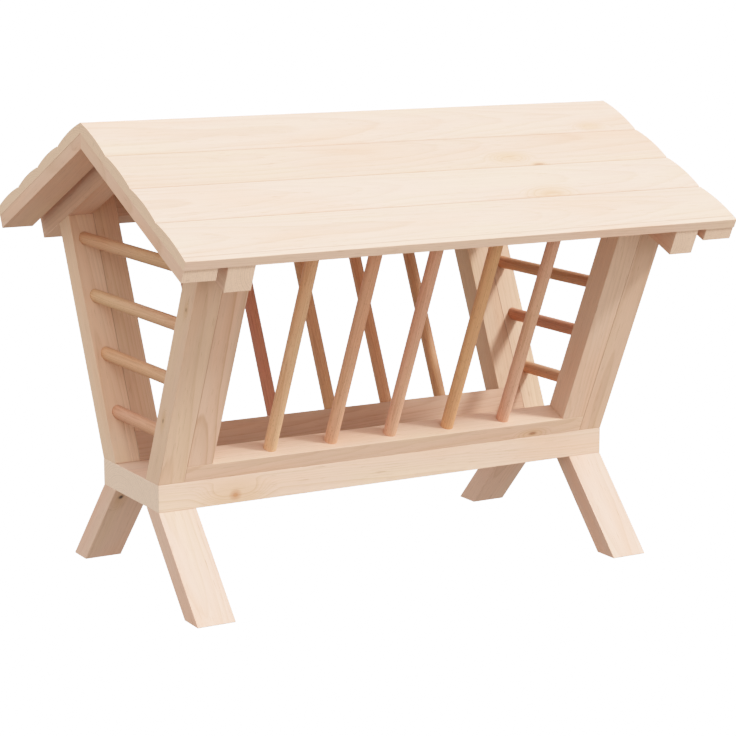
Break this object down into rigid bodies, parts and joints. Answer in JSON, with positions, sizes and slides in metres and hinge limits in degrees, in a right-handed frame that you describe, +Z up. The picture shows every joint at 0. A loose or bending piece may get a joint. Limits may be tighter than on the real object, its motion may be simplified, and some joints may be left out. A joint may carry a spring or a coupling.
{
  "type": "hay feeder box",
  "caption": "Free-standing wooden hay rack: outward-leaning dowel grilles and rung ends on a base plank with splayed legs, under a gabled roof of crowned boards.",
  "frame": {"origin": "on the floor, under the middle of the ridge", "axes": "+X along the ridge, to the right as seen from the front; +Y to the rear; +Z up"},
  "size_m": [1, 0.7586, 0.7646],
  "materials": {
    "fir_board": "planed, unfinished",
    "fir_bar": "planed and sanded, unfinished",
    "fir_leg": "planed and sanded, unfinished",
    "fir_rafter": "planed, unfinished",
    "fir_base": "planed, unfinished",
    "beech_dowel": "turned and sanded, unfinished",
    "beech_pin": "turned, glued in",
    "zinc_screw": "bright zinc plating"
  },
  "bodies": {
    "root": {"base_plank": "fir_base", "bottom_rail_front": "fir_bar", "bottom_rail_rear": "fir_bar", "frame_screws": "zinc_screw", "gable_batten_front_left": "fir_rafter", "gable_batten_front_right": "fir_rafter", "gable_batten_rear_left": "fir_rafter", "gable_batten_rear_right": "fir_rafter", "grille_dowel_1_front": "beech_dowel", "grille_dowel_1_rear": "beech_dowel", "grille_dowel_2_front": "beech_dowel", "grille_dowel_2_rear": "beech_dowel", "grille_dowel_3_front": "beech_dowel", "grille_dowel_3_rear": "beech_dowel", "grille_dowel_4_front": "beech_dowel", "grille_dowel_4_rear": "beech_dowel", "grille_dowel_5_front": "beech_dowel", "grille_dowel_5_rear": "beech_dowel", "inner_plank_front_left": "fir_bar", "inner_plank_front_right": "fir_bar", "inner_plank_rear_left": "fir_bar", "inner_plank_rear_right": "fir_bar", "joint_pins": "beech_pin", "leg_front_left": "fir_leg", "leg_front_right": "fir_leg", "leg_rear_left": "fir_leg", "leg_rear_right": "fir_leg", "outer_plank_front_left": "fir_bar", "outer_plank_front_right": "fir_bar", "outer_plank_rear_left": "fir_bar", "outer_plank_rear_right": "fir_bar", "rafter_front_left": "fir_rafter", "rafter_front_right": "fir_rafter", "rafter_rear_left": "fir_rafter", "rafter_rear_right": "fir_rafter", "roof_board_1_front": "fir_board", "roof_board_1_rear": "fir_board", "roof_board_2_front": "fir_board", "roof_board_2_rear": "fir_board", "roof_board_3_front": "fir_board", "roof_board_3_rear": "fir_board", "roof_board_4_front": "fir_board", "roof_board_4_rear": "fir_board", "rung_1_left": "beech_dowel", "rung_1_right": "beech_dowel", "rung_2_left": "beech_dowel", "rung_2_right": "beech_dowel", "rung_3_left": "beech_dowel", "rung_3_right": "beech_dowel", "rung_4_left": "beech_dowel", "rung_4_right": "beech_dowel", "top_rail_front": "fir_bar", "top_rail_rear": "fir_bar"}
  },
  "joints": []
}
